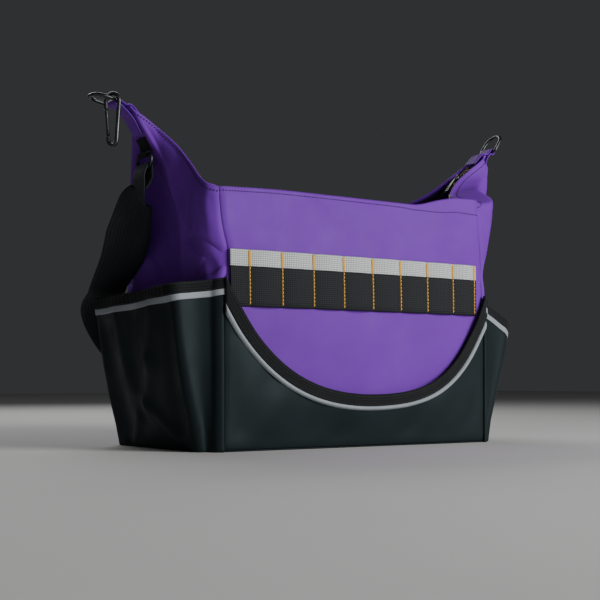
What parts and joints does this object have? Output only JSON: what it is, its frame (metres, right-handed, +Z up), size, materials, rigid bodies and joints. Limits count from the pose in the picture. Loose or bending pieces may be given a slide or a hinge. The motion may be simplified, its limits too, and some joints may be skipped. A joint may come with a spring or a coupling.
{
  "type": "insulated lunch bag",
  "caption": "Soft insulated lunch bag with an open zip mouth, end ears with metal rings, tool loops across the front, outer pockets and a shoulder strap.",
  "frame": {"origin": "middle of the base's underside, on the floor", "axes": "+X along the front to the right, +Y from the front to the back, +Z up"},
  "size_m": [0.699, 0.3032, 0.4754],
  "materials": {
    "purple_pvc": "PVC-coated cloth, semi-matte",
    "black_pvc": "PVC-coated cloth, semi-matte",
    "black_webbing": "ribbed weave",
    "grey_reflective": "reflective weave",
    "dark_metal": "gunmetal plating",
    "steel": "polished wire",
    "brass": "dull",
    "black_plastic": "moulded"
  },
  "bodies": {
    "bag": {"front_panel": "purple_pvc", "back_panel": "purple_pvc", "end_panel_left": "purple_pvc", "end_panel_right": "purple_pvc", "ear_tab_left": "purple_pvc", "ear_tab_right": "purple_pvc", "base_panel": "black_pvc", "front_pocket": "black_pvc", "side_pocket_left": "black_pvc", "side_pocket_right": "black_pvc", "front_binding": "black_webbing", "tool_webbing": "black_webbing", "pocket_hem_left": "black_webbing", "pocket_hem_right": "black_webbing", "zip_tape_front": "black_webbing", "zip_tape_back": "black_webbing", "strap_tab_left": "black_webbing", "strap_tab_right": "black_webbing", "shoulder_strap": "black_webbing", "front_piping": "grey_reflective", "reflective_webbing": "grey_reflective", "pocket_reflector_left": "grey_reflective", "pocket_reflector_right": "grey_reflective", "strap_ring_left": "dark_metal", "strap_ring_right": "dark_metal", "zip_slider": "steel", "zip_teeth_front": "brass", "zip_teeth_back": "brass"},
    "ring_left": {"d_ring_left": "dark_metal"},
    "ring_right": {"d_ring_right": "dark_metal"},
    "hook": {"hook_body": "steel"},
    "gate": {"hook_gate": "steel"},
    "pull": {"zip_pull": "black_plastic"}
  },
  "joints": [
    {"name": "ring_left_tilt", "type": "hinge", "parent": "bag", "child": "ring_left", "pos_m": [-0.302, 0, 0.4405], "axis": [0, 1, 0], "range_deg": [-25, 60]},
    {"name": "ring_right_tilt", "type": "hinge", "parent": "bag", "child": "ring_right", "pos_m": [0.342, 0, 0.446], "axis": [0, -1, 0], "range_deg": [-140, 100]},
    {"name": "hook_swing", "type": "hinge", "parent": "ring_left", "child": "hook", "pos_m": [-0.31185, -0.0155, 0.44224], "axis": [-0.9848, 0, 0.1736], "range_deg": [-30, 30]},
    {"name": "hook_gate_turn", "type": "hinge", "parent": "hook", "child": "gate", "pos_m": [-0.31505, -0.00995, 0.39424], "axis": [0.866, 0.5, 0], "range_deg": [0, 20], "stiffness_Nm_per_rad": 0.03, "springref_deg": -20.05},
    {"name": "zip_pull_turn", "type": "hinge", "parent": "bag", "child": "pull", "pos_m": [0.27294, 0, 0.39902], "axis": [0, 1, 0], "range_deg": [0, 110]}
  ]
}
